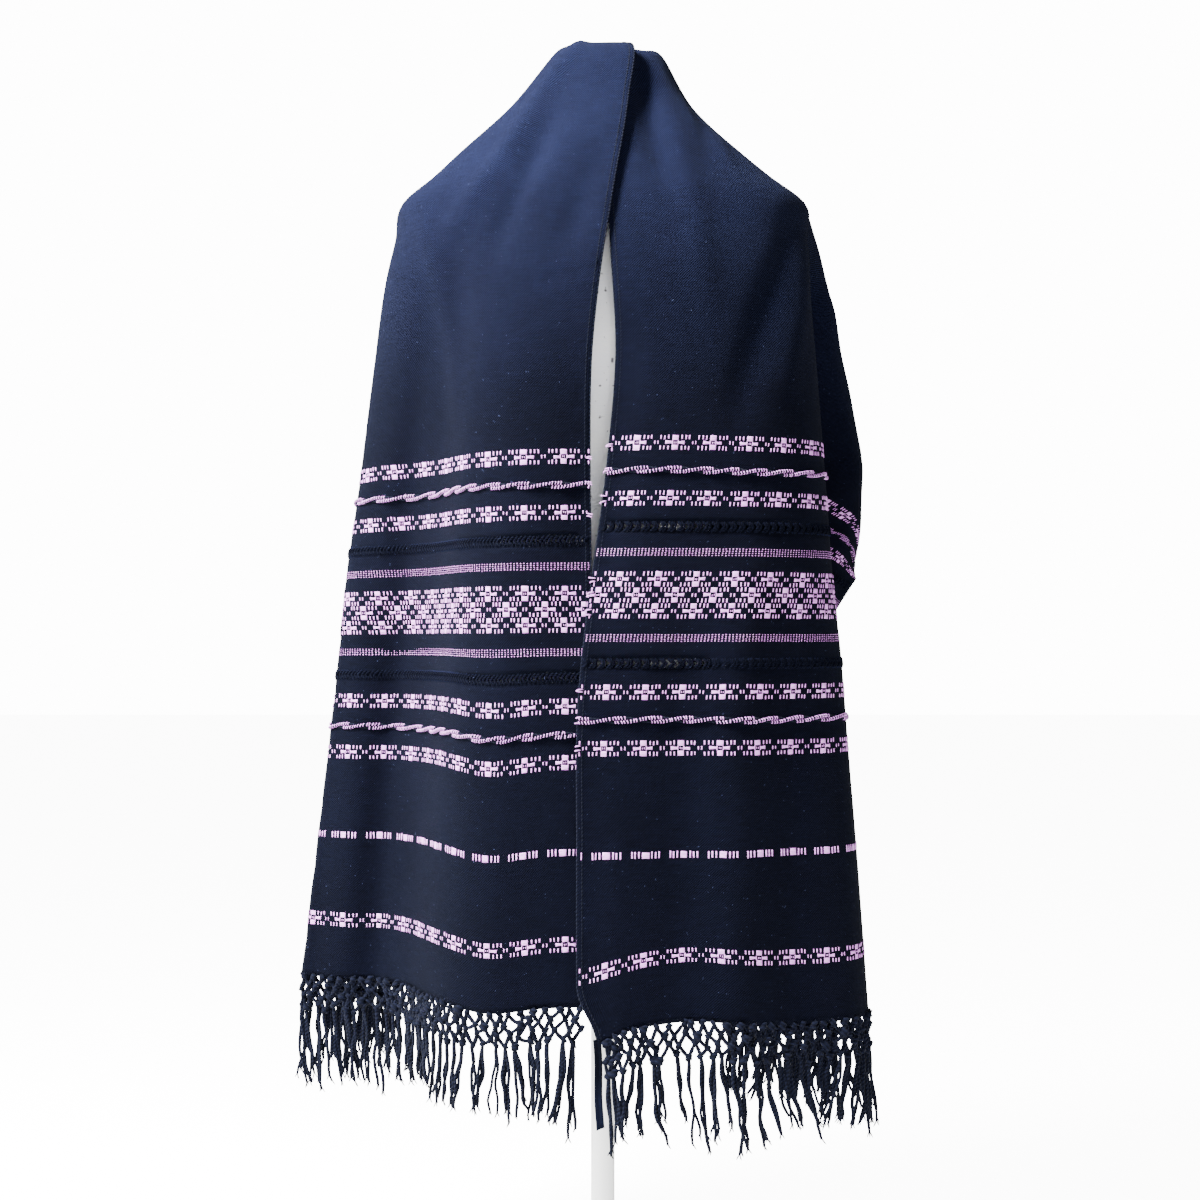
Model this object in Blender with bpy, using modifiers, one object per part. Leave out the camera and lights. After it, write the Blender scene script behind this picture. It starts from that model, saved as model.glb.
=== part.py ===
# Rebozo shawl with a knotted fringe, draped over the neck and shoulders of a
# limbless dress form. The form stands on a pole with a round base.
# Metres, +Z up, front towards -Y. The origin is on the underside of the base.
#
# The shawl is one long rectangle of cloth. "run" is the distance along it from
# the middle of the back: negative to the wearer's right end (-X), positive to
# the other end (+X). Each row of SECTIONS is one straight thread line across
# the cloth, from its inner selvedge to its outer selvedge.

from collections import namedtuple

import bpy
import numpy as np

# Cloth
CLOTH_WIDTH = 0.70  # selvedge to selvedge
WALL = 0.002
SEAM_GAP = 0.0003  # between neighbouring stretches
ROW_STEP = 0.036  # loft rows along the cloth
FRONT_COLUMNS = 16  # loft columns from the inner selvedge to the front fold
BACK_COLUMNS = (6, 6, 7)  # front fold to turn, turn to side fold, side fold to outer selvedge
FRONT_POWER = 2.25  # roundness of the front between selvedge and fold
END_LEFT = -1.158  # hem of the end that hangs at -X
END_RIGHT = 1.178
FRINGE_NET = 0.042  # knotted net under the hem
FRINGE_TASSEL = 0.072  # loose yarns under the net
FRINGE_WALL = 0.003

# Stretches of cloth that show, between two runs
STRETCHES = {
    "shawl_left_front": (END_LEFT, -0.30),
    "shawl_back": (-0.30, 0.30),
    "shawl_right_front": (0.30, END_RIGHT),
}

# Thread lines across the cloth. Each place is (x, y, z):
# inner selvedge, shoulder ridge or front fold, inside turn, side fold, outer selvedge.
Section = namedtuple("Section", "run inner fold turn side outer")
SECTIONS = (
    Section(END_LEFT, (-0.012, -0.134, 0.342), (-0.331, 0.050, 0.342), (-0.235, 0.082, 0.342),
            (-0.308, 0.118, 0.342), (-0.220, 0.140, 0.342)),
    Section(-1.000, (-0.012, -0.136, 0.500), (-0.314, 0.050, 0.500), (-0.222, 0.080, 0.492),
            (-0.298, 0.116, 0.486), (-0.245, 0.144, 0.425)),
    Section(-0.850, (-0.012, -0.138, 0.650), (-0.296, 0.050, 0.649), (-0.250, 0.079, 0.638),
            (-0.291, 0.108, 0.622), (-0.280, 0.138, 0.512)),
    Section(-0.700, (-0.012, -0.140, 0.800), (-0.278, 0.048, 0.795), (-0.259, 0.074, 0.782),
            (-0.283, 0.098, 0.750), (-0.300, 0.118, 0.590)),
    Section(-0.607, (-0.013, -0.142, 0.893), (-0.265, 0.042, 0.885), (-0.254, 0.069, 0.868),
            (-0.273, 0.094, 0.832), (-0.294, 0.122, 0.635)),
    Section(-0.500, (-0.011, -0.142, 1.000), (-0.249, 0.028, 0.998), (-0.240, 0.060, 0.972),
            (-0.257, 0.097, 0.915), (-0.273, 0.136, 0.677)),
    Section(-0.400, (0.000, -0.137, 1.100), (-0.232, 0.010, 1.100), (-0.226, 0.050, 1.068),
            (-0.239, 0.106, 0.990), (-0.242, 0.146, 0.712)),
    Section(-0.360, (0.0055, -0.128, 1.136), (-0.2225, 0.005, 1.137), (-0.223, 0.049, 1.094),
            (-0.2305, 0.1105, 0.985), (-0.228, 0.147, 0.721)),
    Section(-0.320, (0.011, -0.118, 1.172), (-0.215, 0.000, 1.174), (-0.220, 0.048, 1.120),
            (-0.222, 0.115, 0.980), (-0.214, 0.148, 0.730)),
    Section(-0.290, (0.0155, -0.109, 1.199), (-0.184, 0.000, 1.2005), (-0.206, 0.060, 1.132),
            (-0.210, 0.121, 0.980), (-0.201, 0.149, 0.724)),
    Section(-0.260, (0.020, -0.100, 1.225), (-0.157, 0.000, 1.226), (-0.190, 0.070, 1.145),
            (-0.197, 0.127, 0.980), (-0.187, 0.150, 0.718)),
    Section(-0.200, (0.027, -0.077, 1.277), (-0.099, 0.000, 1.280), (-0.152, 0.085, 1.180),
            (-0.166, 0.135, 0.980), (-0.158, 0.150, 0.705)),
    Section(-0.140, (0.032, -0.049, 1.336), (-0.052, 0.006, 1.340), (-0.112, 0.092, 1.215),
            (-0.130, 0.143, 1.000), (-0.122, 0.150, 0.685)),
    Section(-0.070, (-0.006, 0.014, 1.3385), (-0.052, 0.048, 1.334), (-0.075, 0.115, 1.190),
            (-0.083, 0.148, 0.970), (-0.078, 0.148, 0.665)),
    Section(0.000, (0.000, 0.053, 1.331), (0.000, 0.078, 1.280), (0.000, 0.132, 1.170),
            (0.000, 0.153, 0.950), (0.000, 0.150, 0.655)),
    Section(0.070, (0.006, 0.022, 1.3360), (0.054, 0.048, 1.332), (0.075, 0.115, 1.190),
            (0.083, 0.148, 0.970), (0.078, 0.148, 0.665)),
    Section(0.140, (-0.020, -0.045, 1.332), (0.064, 0.006, 1.338), (0.114, 0.092, 1.215),
            (0.132, 0.143, 1.000), (0.124, 0.150, 0.685)),
    Section(0.200, (-0.008, -0.070, 1.277), (0.098, 0.000, 1.277), (0.154, 0.080, 1.180),
            (0.176, 0.128, 0.980), (0.162, 0.150, 0.705)),
    Section(0.260, (-0.004, -0.092, 1.225), (0.153, -0.003, 1.2245), (0.196, 0.058, 1.145),
            (0.222, 0.108, 0.980), (0.191, 0.149, 0.718)),
    Section(0.290, (-0.0005, -0.1015, 1.1985), (0.1835, -0.0035, 1.1995), (0.216, 0.044, 1.133),
            (0.241, 0.090, 0.980), (0.204, 0.1475, 0.7245)),
    Section(0.320, (0.003, -0.111, 1.172), (0.217, -0.004, 1.174), (0.236, 0.030, 1.122),
            (0.258, 0.072, 0.980), (0.216, 0.146, 0.731)),
    Section(0.360, (0.006, -0.122, 1.136), (0.2165, -0.018, 1.137), (0.234, 0.018, 1.106),
            (0.255, 0.044, 1.066), (0.225, 0.143, 0.737)),
    Section(0.400, (0.008, -0.131, 1.100), (0.217, -0.030, 1.100), (0.196, 0.004, 1.075),
            (0.259, 0.042, 1.025), (0.234, 0.138, 0.742)),
    Section(0.500, (0.013, -0.138, 1.000), (0.224, -0.040, 1.000), (0.168, 0.000, 0.975),
            (0.2745, 0.045, 0.930), (0.257, 0.116, 0.752)),
    Section(0.595, (0.006, -0.141, 0.905), (0.231, -0.042, 0.905), (0.148, 0.000, 0.885),
            (0.276, 0.046, 0.834), (0.273, 0.084, 0.763)),
    Section(0.649, (0.000, -0.143, 0.851), (0.235, -0.042, 0.851), (0.142, 0.000, 0.832),
            (0.252, 0.026, 0.801), (0.278, 0.047, 0.776)),
    Section(0.720, (-0.010, -0.144, 0.780), (0.240, -0.042, 0.780), (0.146, 0.000, 0.765),
            (0.236, 0.026, 0.748), (0.252, 0.046, 0.735)),
    Section(0.850, (-0.0245, -0.147, 0.650), (0.251, -0.042, 0.650), (0.166, 0.000, 0.640),
            (0.236, 0.028, 0.630), (0.198, 0.060, 0.620)),
    Section(1.000, (-0.026, -0.148, 0.500), (0.264, -0.042, 0.500), (0.130, -0.002, 0.492),
            (0.244, 0.028, 0.486), (0.165, 0.064, 0.478)),
    Section(END_RIGHT, (-0.026, -0.148, 0.322), (0.277, -0.042, 0.322), (0.135, -0.004, 0.322),
            (0.254, 0.028, 0.322), (0.148, 0.064, 0.322)),
)

# Soft folds pressed into the cloth: where across it, how far out (+) or in (-),
# how wide, and from which run to which.
Fold = namedtuple("Fold", "across out spread start end")
FOLDS = (
    Fold(0.075, -0.004, 0.035, END_LEFT, -0.70),
    Fold(0.160, 0.006, 0.028, 0.62, END_RIGHT),
    Fold(0.105, -0.005, 0.030, 0.72, END_RIGHT),
    Fold(0.225, -0.004, 0.024, 0.80, END_RIGHT),
)
FOLD_EASE = 0.16  # length over which a fold fades in
NORMAL_STEP = 0.008  # run to either side over which a normal is measured

# The -X front lies flat before the torso, then steps back beside it. How far back,
# at places from the inner selvedge (0) to the front fold (1), and how much of that
# is left at each run towards the shoulder.
STEP_PLACES = (0.0, 0.20, 0.30, 0.39, 0.48, 0.63, 0.88, 1.0)
STEP_DEPTHS = (0.0, 0.0, 0.028, 0.087, 0.108, 0.087, 0.036, 0.0)
STEP_RUNS = (END_LEFT, -0.80, -0.607, -0.50, -0.42, -0.36, END_RIGHT)
STEP_SHARES = (1.0, 1.0, 0.66, 0.40, 0.16, 0.0, 0.0)

# Dress form: height, half width, depth to the front, depth to the back
Ring = namedtuple("Ring", "z half_width front back")
FORM_RINGS = (
    Ring(0.600, 0.146, 0.100, 0.108),
    Ring(0.650, 0.150, 0.102, 0.114),
    Ring(0.720, 0.142, 0.098, 0.106),
    Ring(0.830, 0.114, 0.092, 0.092),
    Ring(0.930, 0.126, 0.104, 0.100),
    Ring(1.010, 0.146, 0.118, 0.110),
    Ring(1.080, 0.162, 0.112, 0.114),
    Ring(1.130, 0.178, 0.098, 0.108),
    Ring(1.165, 0.168, 0.080, 0.090),
    Ring(1.195, 0.130, 0.066, 0.074),
    Ring(1.225, 0.086, 0.056, 0.060),
    Ring(1.255, 0.054, 0.045, 0.045),
    Ring(1.306, 0.044, 0.041, 0.041),
    Ring(1.315, 0.040, 0.037, 0.037),
    Ring(1.318, 0.034, 0.031, 0.031),
)
FORM_POINTS = 36  # round a ring
FORM_STEPS = 2  # loft steps between two rings
FORM_POWER = 2.2
FORM_LEAN = 0.004  # the torso's middle lies this far behind the pole's line
POLE_RADIUS = 0.0125
POLE_FOOT = 0.0183  # top of the base, plus the gap
BASE_RADIUS = 0.170
BASE_HEIGHT = 0.018
BASE_EDGE = 0.005
BASE_SIDES = 64
GAP = 0.0003

NAVY = (0.012, 0.019, 0.045, 1.0)
LINEN = (0.66, 0.64, 0.60, 1.0)
OFF_WHITE = (0.72, 0.71, 0.69, 1.0)


def clear_scene():
    for old in list(bpy.data.objects):
        bpy.data.objects.remove(old, do_unlink=True)


def new_collection(name):
    group = bpy.data.collections.new(name)
    bpy.context.scene.collection.children.link(group)
    return group


def new_material(name, colour, roughness):
    material = bpy.data.materials.new(name)
    material.use_nodes = True
    shader = material.node_tree.nodes["Principled BSDF"]
    shader.inputs["Base Color"].default_value = colour
    shader.inputs["Roughness"].default_value = roughness
    shader.inputs["Metallic"].default_value = 0.0
    return material


def spline(stations, values, where):
    """A smooth curve through values at stations, read at where."""
    stations = np.asarray(stations, float)
    values = np.asarray(values, float)
    flat = values.ndim == 1
    values = values[:, None] if flat else values
    where = np.asarray(where, float)
    slopes = np.gradient(values, stations, axis=0)
    left = np.clip(np.searchsorted(stations, where, side="right") - 1, 0, len(stations) - 2)
    gap = stations[left + 1] - stations[left]
    t = ((where - stations[left]) / gap)[:, None]
    gap = gap[:, None]
    found = (
        (2 * t**3 - 3 * t**2 + 1) * values[left]
        + (t**3 - 2 * t**2 + t) * gap * slopes[left]
        + (3 * t**2 - 2 * t**3) * values[left + 1]
        + (t**3 - t**2) * gap * slopes[left + 1]
    )
    return found[:, 0] if flat else found


def section_at(run):
    """The five named places of the thread line at this run."""
    runs = [section.run for section in SECTIONS]
    clamped = min(max(run, END_LEFT), END_RIGHT)
    return [
        spline(runs, [getattr(section, name) for section in SECTIONS], [clamped])[0]
        for name in Section._fields[1:]
    ]


def thread_line(run):
    """Points across the cloth at this run, from the inner to the outer selvedge."""
    inner, fold, turn, side, outer = section_at(run)
    angle = np.linspace(0.0, np.pi / 2, FRONT_COLUMNS + 1)
    across = np.sin(angle) ** (2 / FRONT_POWER)
    forward = np.cos(angle) ** (2 / FRONT_POWER)
    step = np.interp(run, STEP_RUNS, STEP_SHARES)
    step = step * spline(STEP_PLACES, STEP_DEPTHS, angle / angle[-1])
    front = np.stack(
        [
            inner[0] + (fold[0] - inner[0]) * across,
            fold[1] + (inner[1] - fold[1]) * forward + step,
            inner[2] + (fold[2] - inner[2]) * angle / angle[-1],
        ],
        axis=1,
    )
    knots = np.array([front[-2], fold, turn, side, outer])
    spacing = np.linalg.norm(np.diff(knots, axis=0), axis=1) ** 0.5
    stations = np.concatenate([[0.0], np.cumsum(spacing)])
    pieces = [front]
    for first, columns in enumerate(BACK_COLUMNS, start=1):
        steps = np.arange(1, columns + 1) / columns
        where = stations[first] + (stations[first + 1] - stations[first]) * steps
        pieces.append(spline(stations, knots, where))
    return np.concatenate(pieces)


def widths_along(line):
    """Distance across the cloth at each point: true on the front, eased on the rest."""
    lengths = np.linalg.norm(np.diff(line, axis=0), axis=1)
    reach = np.concatenate([[0.0], np.cumsum(lengths)])
    at_fold = reach[FRONT_COLUMNS]
    rest = (reach - at_fold) / (reach[-1] - at_fold)
    return np.where(reach <= at_fold, reach, at_fold + (CLOTH_WIDTH - at_fold) * rest)


def ease(value):
    value = np.clip(value, 0.0, 1.0)
    return value * value * (3 - 2 * value)


def fold_depth(run, widths):
    depth = np.zeros(len(widths))
    for fold in FOLDS:
        if not fold.start <= run <= fold.end:
            continue
        start_ease = 1.0 if fold.start == END_LEFT else ease((run - fold.start) / FOLD_EASE)
        end_ease = 1.0 if fold.end == END_RIGHT else ease((fold.end - run) / FOLD_EASE)
        strength = start_ease * end_ease
        depth += fold.out * strength * np.exp(-(((widths - fold.across) / fold.spread) ** 2))
    return depth


def cloth_line(run):
    """Points across the cloth at this run with its soft folds, and the outward normals there."""
    line = thread_line(run)
    along = thread_line(run + NORMAL_STEP) - thread_line(run - NORMAL_STEP)
    normal = np.cross(along, np.gradient(line, axis=0))
    normal /= np.linalg.norm(normal, axis=1, keepdims=True)
    return line + normal * fold_depth(run, widths_along(line))[:, None], normal


def wall_object(name, lines, normals, wall, material, group):
    """A closed wall of this thickness, lofted through the lines of points."""
    middle = np.array(lines)
    half = np.array(normals) * wall / 2
    rows, columns = middle.shape[:2]
    outer = np.arange(rows * columns).reshape(rows, columns)
    inner = outer + rows * columns
    faces = []
    for r in range(rows - 1):
        for c in range(columns - 1):
            faces.append((outer[r, c], outer[r + 1, c], outer[r + 1, c + 1], outer[r, c + 1]))
            faces.append((inner[r, c], inner[r, c + 1], inner[r + 1, c + 1], inner[r + 1, c]))
    border = (
        [outer[0, c] for c in range(columns)]
        + [outer[r, -1] for r in range(1, rows)]
        + [outer[-1, c] for c in range(columns - 2, -1, -1)]
        + [outer[r, 0] for r in range(rows - 2, 0, -1)]
    )
    for here, there in zip(border, border[1:] + border[:1]):
        faces.append((here, there, there + rows * columns, here + rows * columns))
    points = np.concatenate([(middle + half).reshape(-1, 3), (middle - half).reshape(-1, 3)])
    mesh = bpy.data.meshes.new(name)
    mesh.from_pydata(points.tolist(), [], [[int(i) for i in face] for face in faces])
    mesh.materials.append(material)
    mesh.shade_smooth()
    mesh.set_sharp_from_angle(angle=np.radians(50))
    group.objects.link(bpy.data.objects.new(name, mesh))


def build_shawl(material, group):
    for name, (start, end) in STRETCHES.items():
        rows = round((end - start) / ROW_STEP) + 1
        runs = np.linspace(start + SEAM_GAP / 2, end - SEAM_GAP / 2, rows)
        lines, normals = zip(*(cloth_line(run) for run in runs))
        wall_object(name, lines, normals, WALL, material, group)


def build_fringe(name, end, material, group):
    """The reach of the knotted net and its tassels: a wall straight down from the hem."""
    line, normal = cloth_line(end)
    drops = [GAP, FRINGE_NET, FRINGE_NET + FRINGE_TASSEL]
    if end < 0:
        drops.reverse()
    lines = [line - np.array([0.0, 0.0, drop]) for drop in drops]
    wall_object(name, lines, [normal] * len(lines), FRINGE_WALL, material, group)


def ring_outline(half_width, front, back, z):
    angle = np.arange(FORM_POINTS) * 2 * np.pi / FORM_POINTS
    x = np.sign(np.cos(angle)) * np.abs(np.cos(angle)) ** (2 / FORM_POWER) * half_width
    y = np.sign(np.sin(angle)) * np.abs(np.sin(angle)) ** (2 / FORM_POWER)
    y *= np.where(y < 0, front, back)
    return np.stack([x, y + FORM_LEAN, np.full(FORM_POINTS, z)], axis=1)


def build_torso(material, group):
    """A closed loft through the form's rings, capped flat at the neck and below."""
    numbers = np.arange(len(FORM_RINGS))
    steps = np.linspace(0, numbers[-1], numbers[-1] * FORM_STEPS + 1)
    table = spline(numbers, [[r.half_width, r.front, r.back, r.z] for r in FORM_RINGS], steps)
    points = np.concatenate([ring_outline(*row) for row in table])
    faces = []
    for ring in range(len(table) - 1):
        for i in range(FORM_POINTS):
            j = (i + 1) % FORM_POINTS
            low = ring * FORM_POINTS
            high = low + FORM_POINTS
            faces.append((low + i, low + j, high + j, high + i))
    top = (len(table) - 1) * FORM_POINTS
    faces.append(tuple(top + i for i in range(FORM_POINTS)))
    faces.append(tuple(reversed(range(FORM_POINTS))))
    mesh = bpy.data.meshes.new("form_torso")
    mesh.from_pydata(points.tolist(), [], faces)
    mesh.materials.append(material)
    mesh.shade_smooth()
    mesh.set_sharp_from_angle(angle=np.radians(50))
    group.objects.link(bpy.data.objects.new("form_torso", mesh))


def build_stand(material, group):
    bpy.ops.mesh.primitive_cylinder_add(
        vertices=32,
        radius=POLE_RADIUS,
        depth=FORM_RINGS[0].z - GAP - POLE_FOOT,
        location=(0, 0, (FORM_RINGS[0].z - GAP + POLE_FOOT) / 2),
    )
    pole = bpy.context.object
    pole.name = "form_pole"
    bpy.ops.mesh.primitive_cylinder_add(
        vertices=BASE_SIDES,
        radius=BASE_RADIUS,
        depth=BASE_HEIGHT,
        location=(0, 0, BASE_HEIGHT / 2),
    )
    base = bpy.context.object
    base.name = "form_base"
    edge = base.modifiers.new("edge", "BEVEL")
    edge.width = BASE_EDGE
    edge.segments = 3
    for piece in (pole, base):
        piece.data.name = piece.name
        piece.data.materials.append(material)
        piece.data.shade_smooth()
        piece.data.set_sharp_from_angle(angle=np.radians(35))
        for home in list(piece.users_collection):
            home.objects.unlink(piece)
        group.objects.link(piece)


def main():
    clear_scene()
    group = new_collection("rebozo_shawl_on_dress_form")
    cloth = new_material("navy_handwoven_cotton", NAVY, 0.9)
    fringe = new_material("navy_cotton_yarn", NAVY, 0.85)
    linen = new_material("form_linen", LINEN, 0.85)
    paint = new_material("stand_paint", OFF_WHITE, 0.45)
    build_shawl(cloth, group)
    build_fringe("fringe_left", END_LEFT, fringe, group)
    build_fringe("fringe_right", END_RIGHT, fringe, group)
    build_torso(linen, group)
    build_stand(paint, group)


main()
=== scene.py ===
# Rebozo shawl over a limbless dress form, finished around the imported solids.
# Metres, +Z up, front towards -Y. The cloth is one rectangle, and every place on it is
# (width, run): width from its inner selvedge, run from the middle of the back.
import math

import bmesh
import bpy
import numpy as np
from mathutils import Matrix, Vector


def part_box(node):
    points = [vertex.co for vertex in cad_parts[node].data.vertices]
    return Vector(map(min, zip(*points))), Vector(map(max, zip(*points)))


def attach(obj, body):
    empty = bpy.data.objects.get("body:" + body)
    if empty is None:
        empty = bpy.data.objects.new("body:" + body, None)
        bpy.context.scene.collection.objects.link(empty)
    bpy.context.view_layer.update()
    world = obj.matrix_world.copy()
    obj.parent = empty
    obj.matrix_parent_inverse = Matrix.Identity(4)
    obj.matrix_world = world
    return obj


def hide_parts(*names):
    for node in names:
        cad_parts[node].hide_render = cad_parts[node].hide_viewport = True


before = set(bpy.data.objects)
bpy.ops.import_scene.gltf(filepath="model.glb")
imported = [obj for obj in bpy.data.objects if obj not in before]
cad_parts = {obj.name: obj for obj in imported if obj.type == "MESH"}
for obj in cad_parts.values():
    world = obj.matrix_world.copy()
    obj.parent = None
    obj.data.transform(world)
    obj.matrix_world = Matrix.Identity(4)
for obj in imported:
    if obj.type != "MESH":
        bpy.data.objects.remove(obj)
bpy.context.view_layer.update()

draw = np.random.default_rng(31)  # the hand's unevenness, the same each run

cloth = {
    "width": 0.70,
    "endLeft": -1.158,
    "endRight": 1.178,
    "thickness": 0.0016,
    "rowStep": 0.0068,
    "columns": 108,
    "frontPower": 2.25,  # 2 rounds the front evenly, more squares it
    "selvedge": 0.008,  # stays whole where a lace band is open
}

# One row for each thread line across the cloth: its run, then places in millimetres for
# inner selvedge, front fold, inside turn, side fold and outer selvedge
threadLines = (
    (-1.158, (-12, -134, 342), (-331, 50, 342), (-235, 82, 342), (-308, 118, 342), (-220, 140, 342)),
    (-1, (-12, -136, 500), (-314, 50, 500), (-222, 80, 492), (-298, 116, 486), (-245, 144, 425)),
    (-0.85, (-12, -138, 650), (-296, 50, 649), (-250, 79, 638), (-291, 108, 622), (-280, 138, 512)),
    (-0.7, (-12, -140, 800), (-278, 48, 795), (-259, 74, 782), (-283, 98, 750), (-300, 118, 590)),
    (-0.607, (-13, -142, 893), (-265, 42, 885), (-254, 69, 868), (-273, 94, 832), (-294, 122, 635)),
    (-0.5, (-11, -142, 1000), (-249, 28, 998), (-240, 60, 972), (-257, 97, 915), (-273, 136, 677)),
    (-0.4, (0, -137, 1100), (-232, 10, 1100), (-226, 50, 1068), (-239, 106, 990), (-242, 146, 712)),
    (-0.36, (5.5, -128, 1136), (-222.5, 5, 1137), (-223, 49, 1094), (-230.5, 110.5, 985), (-228, 147, 721)),
    (-0.32, (11, -118, 1172), (-215, 0, 1174), (-220, 48, 1120), (-222, 115, 980), (-214, 148, 730)),
    (-0.29, (15.5, -109, 1199), (-184, 0, 1200.5), (-206, 60, 1132), (-210, 121, 980), (-201, 149, 724)),
    (-0.26, (20, -100, 1225), (-157, 0, 1226), (-190, 70, 1145), (-197, 127, 980), (-187, 150, 718)),
    (-0.2, (27, -77, 1277), (-99, 0, 1280), (-152, 85, 1180), (-166, 135, 980), (-158, 150, 705)),
    (-0.14, (32, -49, 1336), (-52, 6, 1340), (-112, 92, 1215), (-130, 143, 1000), (-122, 150, 685)),
    (-0.07, (-6, 14, 1338.5), (-52, 48, 1334), (-75, 115, 1190), (-83, 148, 970), (-78, 148, 665)),
    (0, (0, 53, 1331), (0, 78, 1280), (0, 132, 1170), (0, 153, 950), (0, 150, 655)),
    (0.07, (6, 22, 1336), (54, 48, 1332), (75, 115, 1190), (83, 148, 970), (78, 148, 665)),
    (0.14, (-20, -45, 1332), (64, 6, 1338), (114, 92, 1215), (132, 143, 1000), (124, 150, 685)),
    (0.2, (-8, -70, 1277), (98, 0, 1277), (154, 80, 1180), (176, 128, 980), (162, 150, 705)),
    (0.26, (-4, -92, 1225), (153, -3, 1224.5), (196, 58, 1145), (222, 108, 980), (191, 149, 718)),
    (0.29, (-0.5, -101.5, 1198.5), (183.5, -3.5, 1199.5), (216, 44, 1133), (241, 90, 980),
     (204, 147.5, 724.5)),
    (0.32, (3, -111, 1172), (217, -4, 1174), (236, 30, 1122), (258, 72, 980), (216, 146, 731)),
    (0.36, (6, -122, 1136), (216.5, -18, 1137), (234, 18, 1106), (255, 44, 1066), (225, 143, 737)),
    (0.4, (8, -131, 1100), (217, -30, 1100), (196, 4, 1075), (259, 42, 1025), (234, 138, 742)),
    (0.5, (13, -138, 1000), (224, -40, 1000), (168, 0, 975), (274.5, 45, 930), (257, 116, 752)),
    (0.595, (6, -141, 905), (231, -42, 905), (148, 0, 885), (276, 46, 834), (273, 84, 763)),
    (0.649, (0, -143, 851), (235, -42, 851), (142, 0, 832), (252, 26, 801), (278, 47, 776)),
    (0.72, (-10, -144, 780), (240, -42, 780), (146, 0, 765), (236, 26, 748), (252, 46, 735)),
    (0.85, (-24.5, -147, 650), (251, -42, 650), (166, 0, 640), (236, 28, 630), (198, 60, 620)),
    (1, (-26, -148, 500), (264, -42, 500), (130, -2, 492), (244, 28, 486), (165, 64, 478)),
    (1.178, (-26, -148, 322), (277, -42, 322), (135, -4, 322), (254, 28, 322), (148, 64, 322)),
)

# How far the -X front steps back beside the torso, from selvedge (0) to front fold (1),
# and how much of that is left at each run towards the shoulder
stepBack = {
    "places": (0.0, 0.20, 0.30, 0.39, 0.48, 0.63, 0.88, 1.0),
    "depths": (0.0, 0.0, 0.028, 0.087, 0.108, 0.087, 0.036, 0.0),
    "runs": (-1.158, -0.80, -0.607, -0.50, -0.42, -0.36, 1.178),
    "shares": (1.0, 1.0, 0.66, 0.40, 0.16, 0.0, 0.0),
}

# Soft folds pressed in: width, out (+) or in (-), spread, from run, to run
softFolds = (
    (0.075, -0.004, 0.035, -1.30, -0.70),
    (0.160, 0.006, 0.028, 0.62, 1.30),
    (0.105, -0.005, 0.030, 0.72, 1.30),
    (0.225, -0.004, 0.024, 0.80, 1.30),
    (0.0, -0.010, 0.026, 0.42, 0.84),
    (0.0, -0.006, 0.024, -0.82, -0.46),
    (0.335, 0.003, 0.020, -1.30, -0.62),
    (0.385, -0.003, 0.018, -1.30, -0.66),
    (0.040, 0.002, 0.016, 0.86, 1.30),
    (0.290, 0.003, 0.020, 0.70, 1.30),
    (0.520, 0.004, 0.030, -1.30, 1.30),
    (0.600, -0.004, 0.026, -0.62, 0.58),
    (0.440, -0.003, 0.028, -0.40, 0.36),
)

# Where the cloth hangs a little lower (-) or higher (+): width, by how much, spread,
# from run, to run
sags = (
    (0.105, -0.008, 0.045, -1.30, -0.76),
    (0.0, -0.016, 0.040, 0.98, 1.30),
    (0.120, 0.008, 0.060, 1.00, 1.30),
)

# The inner corner of the +X hem is drawn in: how far, from which run, over what reach and width
drawnIn = {"by": 0.020, "start": 1.118, "reach": 0.06, "spread": 0.030}

# Bands of figured weft, by their distance from the middle of the three flower rows, the
# same both ways
bandsOneWay = (("flower", 0.016), ("dots", 0.043), ("lace", 0.0685), ("flower", 0.097), ("twist", 0.125),
               ("flower", 0.153))
bandsBoth = (*((kind, -away) for kind, away in reversed(bandsOneWay)), ("flowerHalf", 0.0), *bandsOneWay)
ends = {
    "left": {"middle": 0.760, "side": -1, "first": 0.0262, "pitch": 0.0402,
             "low": (("dashes", 0.243), ("flower", 0.335))},
    "right": {"middle": 0.746, "side": 1, "first": 0.0275, "pitch": 0.0387,
              "low": (("dashes", 0.259), ("flower", 0.365))},
}


def bandRuns(*kinds):
    # the run of each band of these kinds, with the end that it belongs to
    for end in ends.values():
        for kind, away in bandsBoth:
            if kind in kinds:
                yield end, end["side"] * (end["middle"] + away)



def smoothCurve(stations, values, where):
    # a smooth curve through values at stations, read at where
    stations = np.asarray(stations, float)
    values = np.asarray(values, float)
    flat = values.ndim == 1
    values = values[:, None] if flat else values
    where = np.asarray(where, float)
    slopes = np.gradient(values, stations, axis=0)
    left = np.clip(np.searchsorted(stations, where, side="right") - 1, 0, len(stations) - 2)
    gap = stations[left + 1] - stations[left]
    t = ((where - stations[left]) / gap)[:, None]
    gap = gap[:, None]
    found = (
        (2 * t**3 - 3 * t**2 + 1) * values[left]
        + (t**3 - 2 * t**2 + t) * gap * slopes[left]
        + (3 * t**2 - 2 * t**3) * values[left + 1]
        + (t**3 - t**2) * gap * slopes[left + 1]
    )
    return found[:, 0] if flat else found


def easing(value):
    value = np.clip(value, 0.0, 1.0)
    return value * value * (3 - 2 * value)


def unit(vectors):
    return vectors / np.maximum(np.linalg.norm(vectors, axis=-1, keepdims=True), 1e-9)


# Points along a thread line: round the front, then from the fold to the outer selvedge
fine = 4
frontCount = 16 * fine
backCounts = (6 * fine, 6 * fine, 7 * fine)


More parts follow.
